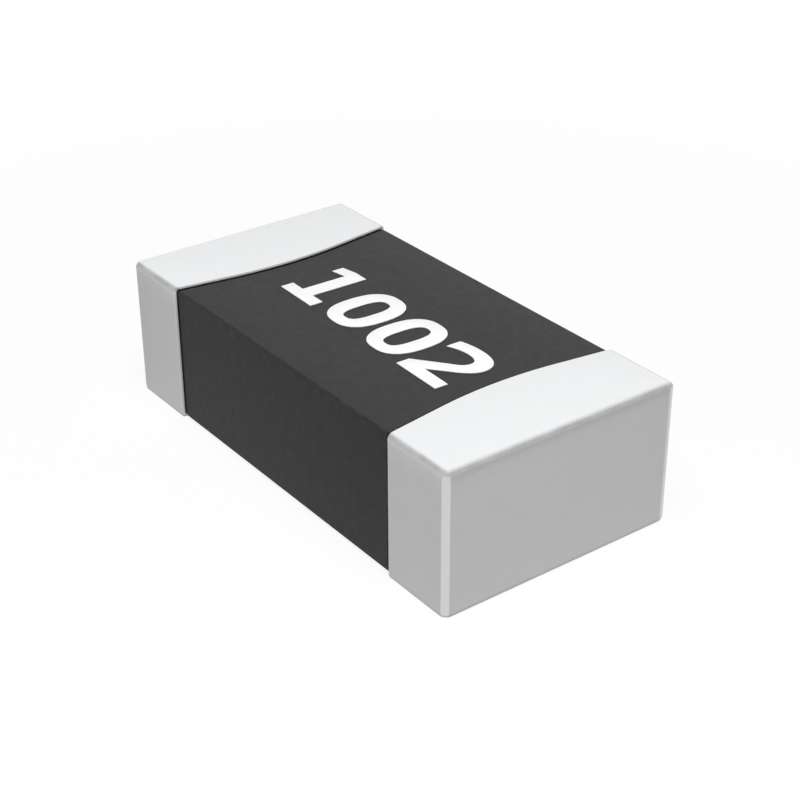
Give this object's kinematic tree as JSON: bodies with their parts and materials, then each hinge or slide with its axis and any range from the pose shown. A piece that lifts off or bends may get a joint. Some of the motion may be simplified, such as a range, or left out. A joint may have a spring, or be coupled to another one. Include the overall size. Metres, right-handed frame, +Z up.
{
  "type": "chip resistor",
  "caption": "Small black rectangular surface-mount resistor with wrap-around tin terminations at both ends and a white value code on top.",
  "frame": {"origin": "the middle of the chip, which is what placing it on a board goes by; the solder faces lie 0.228 mm under it", "axes": "+X along the chip from one termination to the other, +Y across it, +Z up through the printed top face"},
  "size_m": [0.0016, 0.0008, 0.0004],
  "materials": {
    "black_ceramic": "fine matte",
    "fired_silver": "matte, fired",
    "resistive_film": "matte, fired",
    "glass_glaze": "glossy glaze",
    "black_overcoat": "satin black epoxy",
    "termination_silver": "matte, dipped",
    "nickel_plating": "plated",
    "tin_plating": "matte tin plating",
    "white_ink": "matte printed ink"
  },
  "bodies": {
    "root": {"ceramic_substrate": "black_ceramic", "top_electrode_left": "fired_silver", "top_electrode_right": "fired_silver", "resistive_film": "resistive_film", "glass_passivation": "glass_glaze", "protective_overcoat": "black_overcoat", "silver_base_left": "termination_silver", "silver_base_right": "termination_silver", "nickel_barrier_left": "nickel_plating", "nickel_barrier_right": "nickel_plating", "tin_plating_left": "tin_plating", "tin_plating_right": "tin_plating", "marking_digit_1": "white_ink", "marking_digit_2": "white_ink", "marking_digit_3": "white_ink", "marking_digit_4": "white_ink"}
  },
  "joints": []
}
